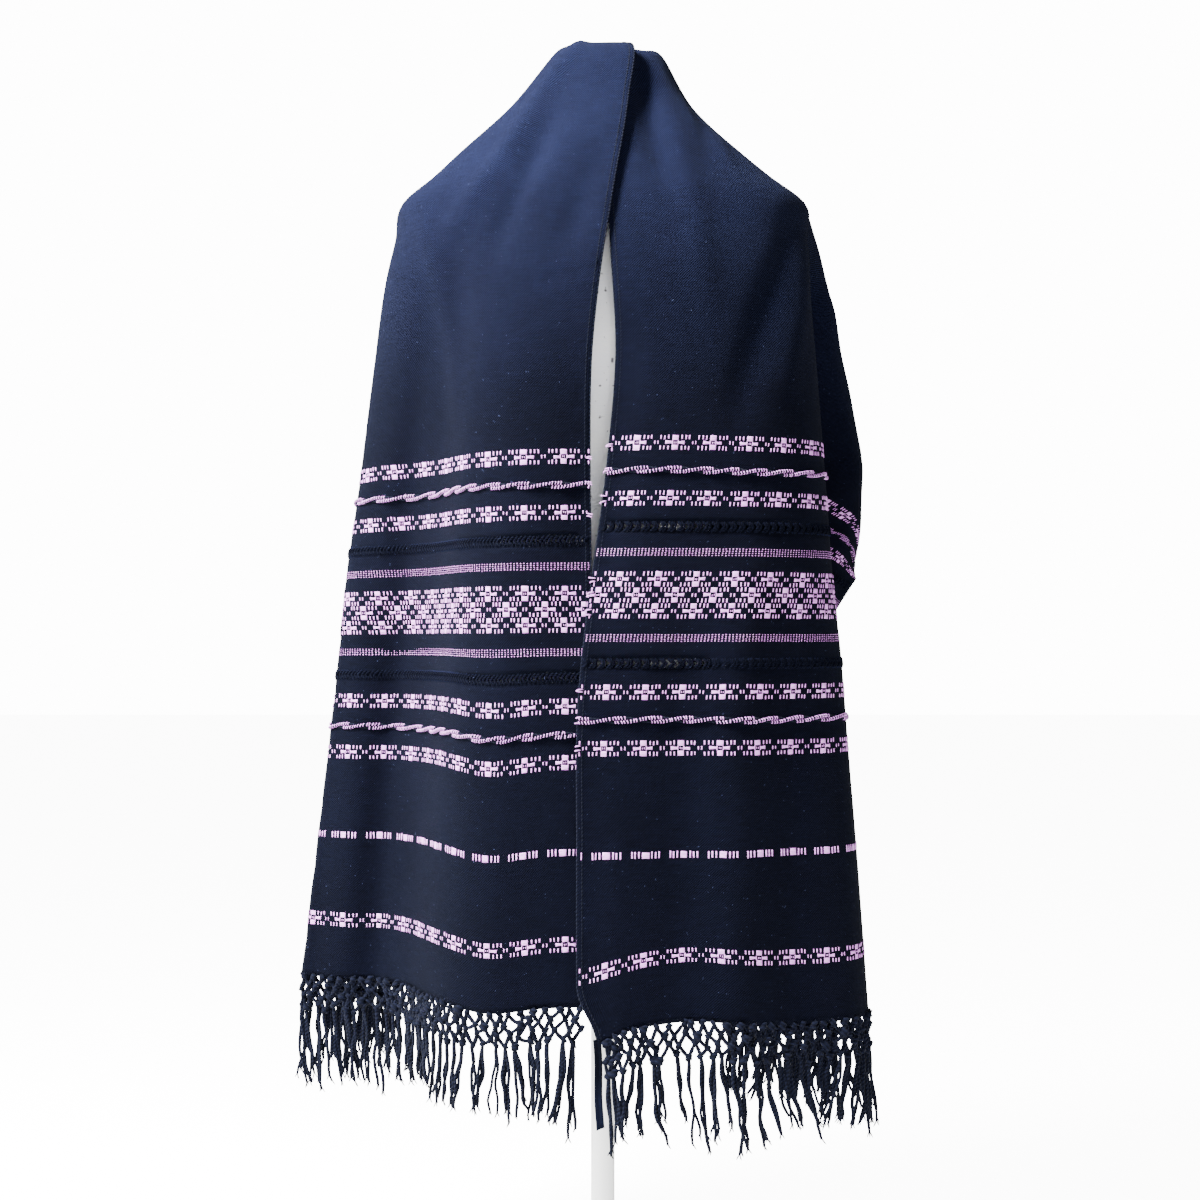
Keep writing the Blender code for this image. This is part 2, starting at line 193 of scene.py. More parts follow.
def threadLine(run, rails):
    inner, fold, turn, side, outer = rails
    places = np.linspace(0.0, 1.0, frontCount + 1)
    angle = places * math.pi / 2
    across = np.sin(angle) ** (2 / cloth["frontPower"])
    forward = np.cos(angle) ** (2 / cloth["frontPower"])
    step = np.interp(run, stepBack["runs"], stepBack["shares"])
    step = step * smoothCurve(stepBack["places"], stepBack["depths"], places)
    front = np.stack([
        inner[0] + (fold[0] - inner[0]) * across,
        fold[1] + (inner[1] - fold[1]) * forward + step,
        inner[2] + (fold[2] - inner[2]) * places,
    ], axis=1)
    knots = np.array([front[-1 - fine], fold, turn, side, outer])
    gaps = np.linalg.norm(np.diff(knots, axis=0), axis=1) ** 0.5
    stations = np.concatenate([[0.0], np.cumsum(gaps)])
    pieces = [front]
    for first, count in enumerate(backCounts, start=1):
        steps = np.arange(1, count + 1) / count * (stations[first + 1] - stations[first])
        pieces.append(smoothCurve(stations, knots, stations[first] + steps))
    line = np.concatenate(pieces)
    reach = np.concatenate([[0.0], np.cumsum(np.linalg.norm(np.diff(line, axis=0), axis=1))])
    atFold = reach[frontCount]
    rest = (reach - atFold) / (reach[-1] - atFold)
    widths = np.where(reach <= atFold, reach, atFold + (cloth["width"] - atFold) * rest)
    return line, widths


gridRuns = np.linspace(cloth["endLeft"], cloth["endRight"], 601)
gridWidths = np.linspace(0.0, cloth["width"], 281)


def bell(distance, spread):
    return np.exp(-((distance / spread) ** 2))


def patchStrength(run, start, end, fade=0.16):
    rise = easing((run - start) / fade)
    fall = easing((end - run) / fade)
    return rise * fall


def surfaceNormals(points):
    along = np.gradient(points, axis=0)
    across = np.gradient(points, axis=1)
    normals = unit(np.cross(along, across))
    for _ in range(3):  # even out the tightest turns
        padded = np.pad(normals, ((1, 1), (1, 1), (0, 0)), mode="edge")
        beside = padded[:-2, 1:-1] + padded[2:, 1:-1] + padded[1:-1, :-2] + padded[1:-1, 2:]
        normals = unit(padded[1:-1, 1:-1] * 2 + beside)
    return normals


def shapeCloth():
    # the whole draped surface as a table of places, by run and width
    runs = [row[0] for row in threadLines]
    columns = [[row[k] for row in threadLines] for k in range(1, 6)]
    rails = np.array([smoothCurve(runs, column, gridRuns) for column in columns]) * 0.001
    points = np.zeros((len(gridRuns), len(gridWidths), 3))
    for i, run in enumerate(gridRuns):
        line, widths = threadLine(run, rails[:, i])
        for axis in range(3):
            points[i, :, axis] = np.interp(gridWidths, widths, line[:, axis])
    push = np.zeros(points.shape[:2])
    run = gridRuns[:, None]
    for place, out, spread, start, end in softFolds:
        push += out * patchStrength(run, start, end) * bell(gridWidths - place, spread)
    for crease in handCreases:
        push += creasePush(crease)
    points = points + surfaceNormals(points) * push[..., None]
    for place, drop, spread, start, end in sags:
        points[..., 2] += drop * patchStrength(run, start, end) * bell(gridWidths - place, spread)
    hem = easing((run - drawnIn["start"]) / drawnIn["reach"])
    points[..., 0] += drawnIn["by"] * hem * bell(gridWidths, drawnIn["spread"])
    return points, surfaceNormals(points)


# Creases laid in: places along the crease as (width, run), how far out or in, spread
handCreases = (
    # -X side: a rolled ridge from the neck over the shoulder, with the trough beside it
    (((0.085, -0.150), (0.090, -0.180), (0.103, -0.220), (0.122, -0.274), (0.145, -0.329), (0.177, -0.390)),
     0.006, 0.013),
    (((0.074, -0.215), (0.082, -0.250), (0.090, -0.290), (0.105, -0.356), (0.116, -0.415)), -0.006, 0.014),
    (((0.034, -0.085), (0.052, -0.125), (0.077, -0.169), (0.090, -0.190)), 0.004, 0.008),
    (((0.020, -0.270), (0.034, -0.350), (0.045, -0.414)), -0.004, 0.014),
    (((0.210, -0.330), (0.180, -0.410), (0.163, -0.490), (0.160, -0.560)), 0.004, 0.016),
    (((0.060, -0.430), (0.040, -0.426), (0.018, -0.420)), -0.003, 0.004),
    (((0.000, -0.408), (0.010, -0.412), (0.022, -0.414)), 0.002, 0.003),
    # the lower layer keeps clear of the overlap
    (((0.000, 0.030), (0.000, 0.100), (0.000, 0.170), (0.000, 0.240)), -0.005, 0.022),
    # +X side: a recess beside the overlap, a low ridge, and a trough under the shoulder
    (((0.060, 0.120), (0.056, 0.170), (0.055, 0.215), (0.058, 0.271), (0.062, 0.330)), -0.008, 0.014),
    (((0.078, 0.150), (0.080, 0.220), (0.086, 0.302), (0.092, 0.388), (0.096, 0.470)), 0.005, 0.015),
    (((0.098, 0.185), (0.100, 0.224), (0.104, 0.262)), 0.003, 0.008),
    (((0.128, 0.235), (0.133, 0.262), (0.136, 0.290)), 0.003, 0.008),
    (((0.215, 0.330), (0.182, 0.407), (0.152, 0.466), (0.133, 0.520), (0.125, 0.580)), -0.006, 0.016),
    (((0.240, 0.360), (0.215, 0.430), (0.190, 0.490), (0.170, 0.560)), 0.004, 0.016),
    # back and side wraps: similar soft folds from the neck outwards
    (((0.330, -0.060), (0.400, -0.100), (0.480, -0.160), (0.560, -0.240)), -0.006, 0.018),
    (((0.360, 0.050), (0.430, 0.110), (0.500, 0.180), (0.580, 0.250)), -0.006, 0.018),
    (((0.450, -0.020), (0.540, -0.010), (0.640, 0.010)), 0.005, 0.020),
    (((0.300, -0.240), (0.360, -0.330), (0.420, -0.420), (0.500, -0.520)), 0.005, 0.018),
    (((0.320, 0.230), (0.380, 0.320), (0.450, 0.420), (0.520, 0.500)), 0.005, 0.018),
)


def creasePush(crease):
    path, out, spread = crease
    path = np.array(path)
    w = gridWidths[None, :]
    r = gridRuns[:, None]
    nearest = np.full((len(gridRuns), len(gridWidths)), 9.0)
    share = np.zeros_like(nearest)
    total = len(path) - 1
    for k in range(total):
        a, b = path[k], path[k + 1]
        length = max(float(((b - a) ** 2).sum()), 1e-9)
        t = np.clip(((w - a[0]) * (b[0] - a[0]) + (r - a[1]) * (b[1] - a[1])) / length, 0, 1)
        gap = np.hypot(w - a[0] - t * (b[0] - a[0]), r - a[1] - t * (b[1] - a[1]))
        closer = gap < nearest
        nearest = np.where(closer, gap, nearest)
        share = np.where(closer, (k + t) / total, share)
    fade = np.sin(np.clip(share, 0.02, 0.98) * math.pi) ** 0.6
    return out * fade * bell(nearest, spread)


print("shaping the draped surface")
placesOf, normalsOf = shapeCloth()


def onCloth(width, run, lift=0.0):
    # places this far above the surface, with the surface's own directions there
    width, run = np.broadcast_arrays(np.asarray(width, float), np.asarray(run, float))
    column = np.clip(width / gridWidths[1], 0, len(gridWidths) - 1.001)
    row = np.clip((run - gridRuns[0]) / (gridRuns[1] - gridRuns[0]), 0, len(gridRuns) - 1.001)
    c, r = column.astype(int), row.astype(int)
    a, b = (column - c)[..., None], (row - r)[..., None]

    def mixed(table):
        low = table[r, c] * (1 - a) + table[r, c + 1] * a
        high = table[r + 1, c] * (1 - a) + table[r + 1, c + 1] * a
        return low * (1 - b) + high * b

    normal = unit(mixed(normalsOf))
    return mixed(placesOf) + normal * np.asarray(lift)[..., None], normal


def deselectAll():
    if bpy.context.mode != "OBJECT":
        bpy.ops.object.mode_set(mode="OBJECT")
    bpy.ops.object.select_all(action="DESELECT")


def pick(piece):
    deselectAll()
    piece.select_set(True)
    bpy.context.view_layer.objects.active = piece


def applyWall(piece, thickness):
    wall = piece.modifiers.new("wall", "SOLIDIFY")
    wall.thickness = thickness
    wall.offset = 0.0
    pick(piece)
    bpy.ops.object.modifier_apply(modifier="wall")


def cornersAndFaces(piece):
    # takes a modelled shape as numbers, so that it can be laid many times
    corners = np.array([list(v.co) for v in piece.data.vertices])
    faces = [list(face.vertices) for face in piece.data.polygons]
    bpy.data.objects.remove(piece, do_unlink=True)
    return corners, faces


def meshPiece(name, points, faces, cornerUv, material):
    mesh = bpy.data.meshes.new(name)
    mesh.from_pydata(np.asarray(points).tolist(), [], faces)
    layer = mesh.uv_layers.new(name="UVMap")
    layer.data.foreach_set("uv", np.asarray(cornerUv, np.float32).ravel())
    mesh.materials.append(material)
    mesh.shade_smooth()
    piece = bpy.data.objects.new(name, mesh)
    bpy.context.scene.collection.objects.link(piece)
    return piece


def laidMany(name, points, pointUv, faces, material):
    # one mesh of many copies of a small shape, by copy and corner
    many, count = points.shape[:2]
    allFaces = [[corner + count * k for corner in face] for k in range(many) for face in faces]
    cornerList = np.array([corner for face in allFaces for corner in face])
    return meshPiece(name, points.reshape(-1, 3), allFaces, pointUv.reshape(-1, 2)[cornerList], material)


print("mixing materials")


def newMaterial(name, colour, roughness, **sockets):
    material = bpy.data.materials.new(name)
    material.use_nodes = True
    shader = material.node_tree.nodes["Principled BSDF"]
    shader.inputs["Base Color"].default_value = (*colour, 1)
    shader.inputs["Roughness"].default_value = roughness
    for socket, value in sockets.items():
        shader.inputs[socket.replace("_", " ")].default_value = value
    return material, material.node_tree, shader


def dressed(material, colour, height, strength, distance):
    # wires the colour and the small relief to the material's shader
    tree = material.node_tree
    shader = tree.nodes["Principled BSDF"]
    bump = addNode(tree, "Bump", Height=height, Strength=strength, Distance=distance)
    tree.links.new(bump.outputs[0], shader.inputs["Normal"])
    tree.links.new(colour, shader.inputs["Base Color"])
    return material


def addNode(tree, kind, **inputs):
    made = tree.nodes.new("ShaderNode" + kind)
    for key, value in inputs.items():
        if hasattr(made, key):
            setattr(made, key, value)
            continue
        socket = made.inputs[int(key[2:])] if key.startswith("at") else made.inputs[key.replace("_", " ")]
        if isinstance(value, bpy.types.NodeSocket):
            tree.links.new(value, socket)
        else:
            socket.default_value = value
    return made


def maths(tree, operation, first, second=0.0):
    return addNode(tree, "Math", operation=operation, at0=first, at1=second).outputs[0]


def summed(tree, *terms):
    # the total of values, each times its own weight
    total = 0.0
    for value, weight in terms:
        total = addNode(tree, "Math", operation="MULTIPLY_ADD", at0=value, at1=weight, at2=total).outputs[0]
    return total


def blendOf(tree, share, first, second):
    mix = addNode(tree, "Mix", data_type="RGBA")
    for socket, value in ((0, share), (6, first), (7, second)):
        if isinstance(value, bpy.types.NodeSocket):
            tree.links.new(value, mix.inputs[socket])
        else:
            mix.inputs[socket].default_value = value
    return mix.outputs[2]


def noiseOf(tree, source, scale, detail=2.0, rough=0.5):
    return addNode(tree, "TexNoise", Vector=source, Scale=scale, Detail=detail, Roughness=rough).outputs[0]


def streaksOf(tree, source, scales, detail=3.0, rough=0.6):
    # noise drawn out to a different length each way
    return noiseOf(tree, addNode(tree, "Mapping", Vector=source, Scale=scales).outputs[0], 1.0, detail, rough)


def rampOf(tree, value, low, high):
    return addNode(tree, "MapRange", Value=value, From_Min=low, From_Max=high).outputs[0]


def waveOf(tree, value, spacing):
    return maths(tree, "SINE", maths(tree, "MULTIPLY", value, 2 * math.pi / spacing))


def threadWaves(tree, uv, across, along):
    # crossing threads: their spacing across the cloth and along it, in metres
    split = addNode(tree, "SeparateXYZ", Vector=uv)
    return waveOf(tree, split.outputs[0], across), waveOf(tree, split.outputs[1], along), split


finish = {
    "navyDark": (0.0001, 0.0002, 0.0018, 1),
    "navyLight": (0.0096, 0.0125, 0.0370, 1),
    "navySlub": (0.020, 0.025, 0.052, 1),
    "hatch": 0.0026,  # spacing of the slanting hatch that the weave makes
    "thread": 0.0010,  # spacing of the threads
    "paintedShadeOnEnds": 0.34,  # painted light and shade: how bright the hanging ends are painted beside the lit shoulders
    "lilac": (0.82, 0.31, 0.92, 1),
    "lilacPale": (0.96, 0.56, 0.98, 1),
    "lilacDeep": (0.42, 0.15, 0.48, 1),
    "yarnDark": (0.0004, 0.0008, 0.0034, 1),
    "yarnLight": (0.0032, 0.0046, 0.0140, 1),
    "linen": (1.0, 1.0, 1.0, 1),
    "linenShade": (0.86, 0.87, 0.94, 1),
    "linenMark": (0.16, 0.15, 0.17, 1),
    "paint": (0.92, 0.92, 0.91, 1),
    "paintRub": (0.52, 0.50, 0.47, 1),
}


def makeCloth():
    material, tree, _ = newMaterial(
        "navyHandwovenCotton", (0.01, 0.016, 0.04), 0.88,
        Sheen_Weight=0.014, Sheen_Roughness=0.40, Sheen_Tint=(0.58, 0.68, 1.0, 1), Specular_IOR_Level=0.025,
    )
    uv = addNode(tree, "TexCoord").outputs["UV"]
    x, y, split = threadWaves(tree, uv, finish["thread"], finish["thread"] * 1.15)
    wobble = noiseOf(tree, uv, 160.0)
    slant = summed(tree, (split.outputs[0], 1.0), (split.outputs[1], 1.0), (wobble, 0.0016))
    hatch = waveOf(tree, slant, finish["hatch"])
    slubs = streaksOf(tree, uv, (45, 1100, 1))
    warps = streaksOf(tree, uv, (1300, 38, 1), 2.0)
    wear = noiseOf(tree, uv, 9.0, 6.0, 0.62)
    tone = summed(tree, (hatch, 0.34), (slubs, 0.75), (warps, 0.35), (wear, 0.35))
    colour = blendOf(tree, rampOf(tree, tone, 0.40, 1.25), finish["navyDark"], finish["navyLight"])
    specks = addNode(tree, "TexVoronoi", Vector=uv, Scale=420.0)
    rare = noiseOf(tree, uv, 210.0, 0.0)
    spots = maths(tree, "MULTIPLY", maths(tree, "LESS_THAN", specks.outputs["Distance"], 0.24),
                  maths(tree, "GREATER_THAN", rare, 0.74))
    # painted light and shade: the cloth is painted brighter over the shoulders and darker down the hanging
    # ends
    away = maths(tree, "ABSOLUTE", split.outputs[1])
    paintedShadeScale = addNode(tree, "MapRange", Value=away, From_Min=0.28, From_Max=0.57, To_Min=1.0,
                   To_Max=finish["paintedShadeOnEnds"])
    colour = addNode(tree, "VectorMath", operation="SCALE", at0=colour, Scale=paintedShadeScale.outputs[0]).outputs[0]
    colour = blendOf(tree, spots, colour, finish["navySlub"])
    height = summed(tree, (x, 0.25), (y, 0.30), (hatch, 0.45), (slubs, 1.1))
    return dressed(material, colour, height, 0.75, 0.0007)


def makeLilac():
    material, tree, _ = newMaterial(
        "lilacCottonWeft", (0.74, 0.42, 0.78), 0.62,
        Sheen_Weight=0.06, Sheen_Roughness=0.4, Sheen_Tint=(1.0, 0.85, 1.0, 1), Specular_IOR_Level=0.3,
    )
    uv = addNode(tree, "TexCoord").outputs["UV"]
    _, y, _ = threadWaves(tree, uv, 0.0021, 0.00115)
    streak = streaksOf(tree, uv, (170, 900, 1))
    patches = noiseOf(tree, uv, 22.0)
    tone = summed(tree, (y, 0.16), (streak, 1.0))
    colour = blendOf(tree, rampOf(tree, tone, 0.30, 0.56), finish["lilacDeep"], finish["lilac"])
    pale = maths(tree, "MULTIPLY", rampOf(tree, tone, 0.50, 0.72), rampOf(tree, patches, 0.30, 0.60))
    colour = blendOf(tree, pale, colour, finish["lilacPale"])
    return dressed(material, colour, maths(tree, "ADD", y, streak), 0.55, 0.0004)


def makeYarn():
    material, tree, _ = newMaterial(
        "navyTwistedYarn", (0.01, 0.016, 0.036), 0.80,
        Sheen_Weight=0.025, Sheen_Roughness=0.45, Sheen_Tint=(0.80, 0.84, 0.96, 1), Specular_IOR_Level=0.06,
    )
    uv = addNode(tree, "TexCoord").outputs["UV"]
    split = addNode(tree, "SeparateXYZ", Vector=uv)
    turn = summed(tree, (split.outputs[0], 2.0), (split.outputs[1], 240.0))
    ply = waveOf(tree, turn, 1.0)
    fuzz = streaksOf(tree, uv, (6, 700, 1))
    tone = summed(tree, (ply, 0.22), (fuzz, 1.0))
    colour = blendOf(tree, rampOf(tree, tone, 0.25, 0.85), finish["yarnDark"], finish["yarnLight"])
    return dressed(material, colour, maths(tree, "ADD", ply, fuzz), 0.6, 0.0006)


def makeLinen():
    material, tree, _ = newMaterial(
        "formLinen", (0.70, 0.68, 0.67), 0.86, Sheen_Weight=0.12, Sheen_Roughness=0.5, Specular_IOR_Level=0.3)
    place = addNode(tree, "TexCoord").outputs["Object"]
    threads = streaksOf(tree, place, (160, 160, 1500))
    uprights = streaksOf(tree, place, (1500, 1500, 60), 2.0)
    stains = noiseOf(tree, place, 14.0, 5.0, 0.6)
    marks = noiseOf(tree, place, 150.0, 1.0)
    tone = summed(tree, (threads, 0.5), (stains, 0.7))
    colour = blendOf(tree, rampOf(tree, tone, 0.45, 0.75), finish["linenShade"], finish["linen"])
    colour = blendOf(tree, rampOf(tree, marks, 0.70, 0.78), colour, finish["linenMark"])
    return dressed(material, colour, maths(tree, "ADD", threads, uprights), 0.35, 0.0006)


def makePaint():
    material, tree, shader = newMaterial("standPaint", (0.74, 0.73, 0.71), 0.42)
    place = addNode(tree, "TexCoord").outputs["Object"]
    cloud = noiseOf(tree, place, 9.0, 4.0)
    rubs = streaksOf(tree, place, (60, 60, 9), 5.0, 0.65)
    colour = blendOf(tree, rampOf(tree, rubs, 0.60, 0.72), finish["paint"], finish["paintRub"])
    gloss = addNode(tree, "Math", operation="MULTIPLY_ADD", at0=cloud, at1=0.25, at2=0.5)
    tree.links.new(gloss.outputs[0], shader.inputs["Roughness"])
    return dressed(material, colour, cloud, 0.12, 0.0008)


clothFinish = makeCloth()
lilacFinish = makeLilac()
yarnFinish = makeYarn()
linenFinish = makeLinen()
paintFinish = makePaint()


lace = {
    "half": 0.0040,  # half the length of a band along the cloth
    "pitch": 0.0044,
    "radius": 0.00125,
    "lean": 0.0042,
    "high": 0.0009,
    "tuckedIn": 0.0008,  # how far a bundle runs on into the whole cloth
    # widths between which each band is open: the -X end's upper and lower one, then the +X end's
    "open": ((0.008, 0.150), (0.008, 0.150), (0.008, 0.692), (0.008, 0.128)),
    # a peephole, where the bundles behind are drawn right aside
    "peepRun": 0.8145,
    "peepFrom": 0.083,
    "peepTo": 0.094,
}
laceRuns = [run for _, run in bandRuns("lace")]


def isOpen(width, run):
    for middle, (start, stop) in zip(laceRuns, lace["open"]):
        if abs(run - middle) < lace["half"] and start < width < stop:
            return True
    return False


def rowRuns():
    # run of each row of the cloth's mesh, with one on both edges of each lace band
    edges = [cloth["endLeft"], cloth["endRight"]]
    for middle in laceRuns:
        edges += [middle - lace["half"], middle + lace["half"]]
    edges = sorted(edges)
    runs = [edges[0]]
    for low, high in zip(edges, edges[1:]):
        steps = max(1, round((high - low) / cloth["rowStep"]))
        runs += list(np.linspace(low, high, steps + 1)[1:])
    return np.array(runs)


def weaveCloth():
    print("weaving the cloth")
    runs = rowRuns()
    columns = cloth["columns"]
    margin = cloth["selvedge"]
    inside = np.linspace(margin, cloth["width"] - margin, columns - 1)
    widths = np.concatenate([[0.0, margin / 2], inside, [cloth["width"] - margin / 2, cloth["width"]]])
    deselectAll()
    bpy.ops.mesh.primitive_grid_add(x_subdivisions=len(widths) - 1, y_subdivisions=len(runs) - 1, size=1)
    piece = bpy.context.object
    piece.name = "shawl_cloth"
    mesh = piece.data
    flat = np.empty(len(mesh.vertices) * 3)
    mesh.vertices.foreach_get("co", flat)
    flat = flat.reshape(-1, 3)
    column = np.round((flat[:, 0] + 0.5) * (len(widths) - 1)).astype(int)
    row = np.round((flat[:, 1] + 0.5) * (len(runs) - 1)).astype(int)
    w, r = widths[column], runs[row]
    points, _ = onCloth(w, r)
    mesh.vertices.foreach_set("co", points.ravel())
    corner = np.empty(len(mesh.loops), int)
    mesh.loops.foreach_get("vertex_index", corner)
    cornerUv = np.stack([w[corner], r[corner]], 1).astype(np.float32)
    mesh.uv_layers[0].data.foreach_set("uv", cornerUv.ravel())
    sheet = bmesh.new()
    sheet.from_mesh(mesh)
    sheet.verts.ensure_lookup_table()
    gone = []
    for face in sheet.faces:
        number = [v.index for v in face.verts]
        middleRun, middleWidth = r[number].mean(), w[number].mean()
        if margin < middleWidth < cloth["width"] - margin and isOpen(middleWidth, middleRun):
            gone.append(face)
    bmesh.ops.delete(sheet, geom=gone, context="FACES")
    sheet.faces.ensure_lookup_table()
    face = sheet.faces[len(sheet.faces) // 2]
    number = [v.index for v in face.verts]
    outward = onCloth(w[number].mean(), r[number].mean())[1]
    if np.dot(np.array(face.normal), outward) < 0:
        bmesh.ops.reverse_faces(sheet, faces=sheet.faces[:])
    sheet.to_mesh(mesh)
    sheet.free()
    mesh.materials.append(clothFinish)
    mesh.shade_smooth()
    applyWall(piece, cloth["thickness"])
    return piece


shawl = weaveCloth()


def modelFloat():
    # one raised weft float: a block whose top is drawn in
    deselectAll()
    bpy.ops.mesh.primitive_cube_add(size=1, location=(0, 0, 0))
    piece = bpy.context.object
    bpy.ops.object.mode_set(mode="EDIT")
    bpy.ops.mesh.select_all(action="DESELECT")
    bpy.ops.object.mode_set(mode="OBJECT")
    for face in piece.data.polygons:
        face.select = face.normal.z > 0.9
    bpy.ops.object.mode_set(mode="EDIT")
    bpy.ops.mesh.inset(thickness=0.17)
    bpy.ops.transform.translate(value=(0, 0, 0.45))
    bpy.ops.object.mode_set(mode="OBJECT")
    corners, faces = cornersAndFaces(piece)
    corners[:, 2] = (corners[:, 2] + 0.5) / (corners[:, 2].max() + 0.5)
    return corners, faces


floatCorners, floatFaces = modelFloat()
weft = {
    "sunk": 0.0003,  # how deep a float's foot is inside the cloth
    "high": 0.0007,
    "edge": 0.0012,  # left free at the selvedges
    "chartPitch": 0.040,  # the motif repeat that the charts are drawn for
}


def sewFloats(name, floats, highs):
    # floats: rows of width, run, size across, size along at each side, slant; laid on the cloth
    floats = np.array(floats, float)
    u = floatCorners[None, :, 0] * floats[:, 2:3]
    share = floatCorners[None, :, 0] + 0.5
    v = floatCorners[None, :, 1] * (floats[:, 3:4] * (1 - share) + floats[:, 4:5] * share)
    turn = floats[:, 5:6]
    w = floats[:, 0:1] + u * np.cos(turn) - v * np.sin(turn)
    r = floats[:, 1:2] + u * np.sin(turn) + v * np.cos(turn)
    w = np.clip(w, 0.0004, cloth["width"] - 0.0004)
    foot = cloth["thickness"] / 2 - weft["sunk"]
    points, _ = onCloth(w, r, foot + floatCorners[None, :, 2] * np.array(highs)[:, None])
    return laidMany(name, points, np.stack([w, r], -1), floatFaces, lilacFinish)


# The figured motifs, in millimetres from a motif's middle:
# centre, size across, size along at its left and right, centre along
flowerChart = (
    [(0.0, 6.4, 4.9, 4.9, 5.0), (0.0, 6.4, 4.9, 4.9, -5.0)]
    + [(x, 1.25, 3.8, 3.8, y) for x in (-15.2, -11.2, -7.1, 7.0, 11.0, 14.6) for y in (5.4, -5.4)]
    + [(-7.1, 7.0, 3.5, 1.9, 0.0), (6.5, 5.8, 1.9, 3.5, 0.0)]
    + [(-3.25, 1.2, 3.0, 4.7, 0.0), (3.25, 1.2, 4.7, 3.0, 0.0)]
    + [(-0.95, 0.6, 1.7, 1.7, 0.0), (0.95, 0.6, 1.7, 1.7, 0.0)]
    + [(18.2, 1.0, 3.3, 3.3, 0.0), (21.6, 1.0, 3.3, 3.3, 0.0)]
)
dashChart = [(0.0, 6.9, 6.6, 6.6, 0.0)]
dashChart += [(x, 1.5, 6.6, 6.6, 0.0) for x in (-14.2, -10.8, -6.8, 6.8, 10.4, 14.2)]
dots = {"rows": 4, "rowPitch": 0.0021, "pitch": 0.0034, "across": 0.00110, "along": 0.00082, "high": 0.0005}


def motifRow(chart, run, first, pitch):
    found = []
    scale = pitch / weft["chartPitch"] * 0.001
    for middle in np.arange(first - 4 * pitch, cloth["width"] + pitch, pitch):
        shift = draw.normal(0, 0.0004)
        for x, wide, tallLeft, tallRight, y in chart:
            place = middle + x * scale + shift + draw.normal(0, 0.00012)
            if not weft["edge"] < place < cloth["width"] - weft["edge"]:
                continue
            size = 0.001 * draw.normal(1.0, 0.05)
            found.append((
                place, run + y * 0.001 + draw.normal(0, 0.00018), wide * scale * draw.normal(1, 0.06),
                tallLeft * size, tallRight * size, draw.normal(0, 0.03),
            ))
    return found


def dotBand(run):
    found = []
    for k in range(dots["rows"]):
        y = (k - (dots["rows"] - 1) / 2) * dots["rowPitch"]
        for x in np.arange(0.0025, cloth["width"] - 0.002, dots["pitch"]):
            found.append((
                x + draw.normal(0, 0.00015), run + y + draw.normal(0, 0.00012),
                dots["across"] * draw.normal(1.0, 0.08), dots["along"] * draw.normal(1.0, 0.08),
                dots["along"], draw.normal(0, 0.05),
            ))
    return found


def brocade():
    print("laying in the lilac weft")
    for name, end in ends.items():
        found, highs = [], []
        for kind, away in bandsBoth + end["low"]:
            run = end["side"] * (end["middle"] + away)
            if kind in ("flower", "flowerHalf"):
                first = end["first"] + (end["pitch"] / 2 if kind == "flowerHalf" else 0.0)
                found += motifRow(flowerChart, run, first, end["pitch"])
            elif kind == "dashes":
                found += motifRow(dashChart, run, end["first"] + 0.002, end["pitch"])
            elif kind == "dots":
                found += dotBand(run)
            highs += [dots["high"] if kind == "dots" else weft["high"]] * (len(found) - len(highs))
        yield sewFloats("brocade_" + name, found, highs)


brocades = list(brocade())


def tubes(name, strands, radii, sides, material, uvTurns=1.0, blunt=0.35):
    # closed tubes along many strands, each a path and its upward directions, all with as many points
    paths = np.array([path for path, _ in strands])
    up = np.array([up for _, up in strands])
    many, count = paths.shape[:2]
    radii = np.broadcast_to(np.asarray(radii, float), (many, count)).copy()
    radii[:, 0] *= blunt
    radii[:, -1] *= blunt
    tangent = unit(np.gradient(paths, axis=1))
    side = unit(np.cross(tangent, up))
    lift = np.cross(side, tangent)
    angle = np.arange(sides) * 2 * math.pi / sides
    ring = np.cos(angle)[:, None] * side[:, :, None, :] + np.sin(angle)[:, None] * lift[:, :, None, :]
    points = paths[:, :, None, :] + ring * radii[:, :, None, None]
    gaps = np.linalg.norm(np.diff(paths, axis=1), axis=2)
    lengths = np.concatenate([np.zeros((many, 1)), np.cumsum(gaps, axis=1)], axis=1)
    lengths += 1.0 + np.arange(many)[:, None] * 0.0137  # so that no two show the same stretch of finish
    base = np.arange(many)[:, None, None] * count * sides
    i = np.arange(count - 1)[None, :, None]
    j = np.arange(sides)[None, None, :]
    k = (j + 1) % sides
    a, b = base + i * sides + j, base + i * sides + k
    d, c = a + sides, b + sides
    quads = np.stack([a, d, c, b], axis=-1).reshape(-1, 4)
    around = [np.broadcast_to(step / sides * uvTurns, a.shape) for step in (j, j, j + 1, j + 1)]
    before, after = (np.broadcast_to(part[..., None], a.shape) for part in (lengths[:, :-1], lengths[:, 1:]))
    uv = np.stack([np.stack(pair, -1) for pair in zip(around, (before, after, after, before))], axis=-2)
    startCaps = (base[:, 0] + np.arange(sides)[None, :]).reshape(many, sides)
    endCaps = startCaps[:, ::-1] + (count - 1) * sides
    faces = quads.tolist() + startCaps.tolist() + endCaps.tolist()
    cornerUv = np.concatenate([uv.reshape(-1, 2), np.zeros((2 * many * sides, 2))])
    return meshPiece(name, points.reshape(-1, 3), faces, cornerUv, material)


def joined(name, pieces):
    deselectAll()
    for piece in pieces:
        piece.select_set(True)
    bpy.context.view_layer.objects.active = pieces[0]
    bpy.ops.object.join()
    whole = bpy.context.object
    whole.name = name
    whole.data.name = name
    return whole


twist = {
    "swing": 0.0021, "wave": 0.064, "rope": 0.0017, "bulge": 0.0009,
    "dash": 0.0030, "dashAcross": 0.00105, "dashAlong": 0.0033, "dashSlant": -0.30,
}


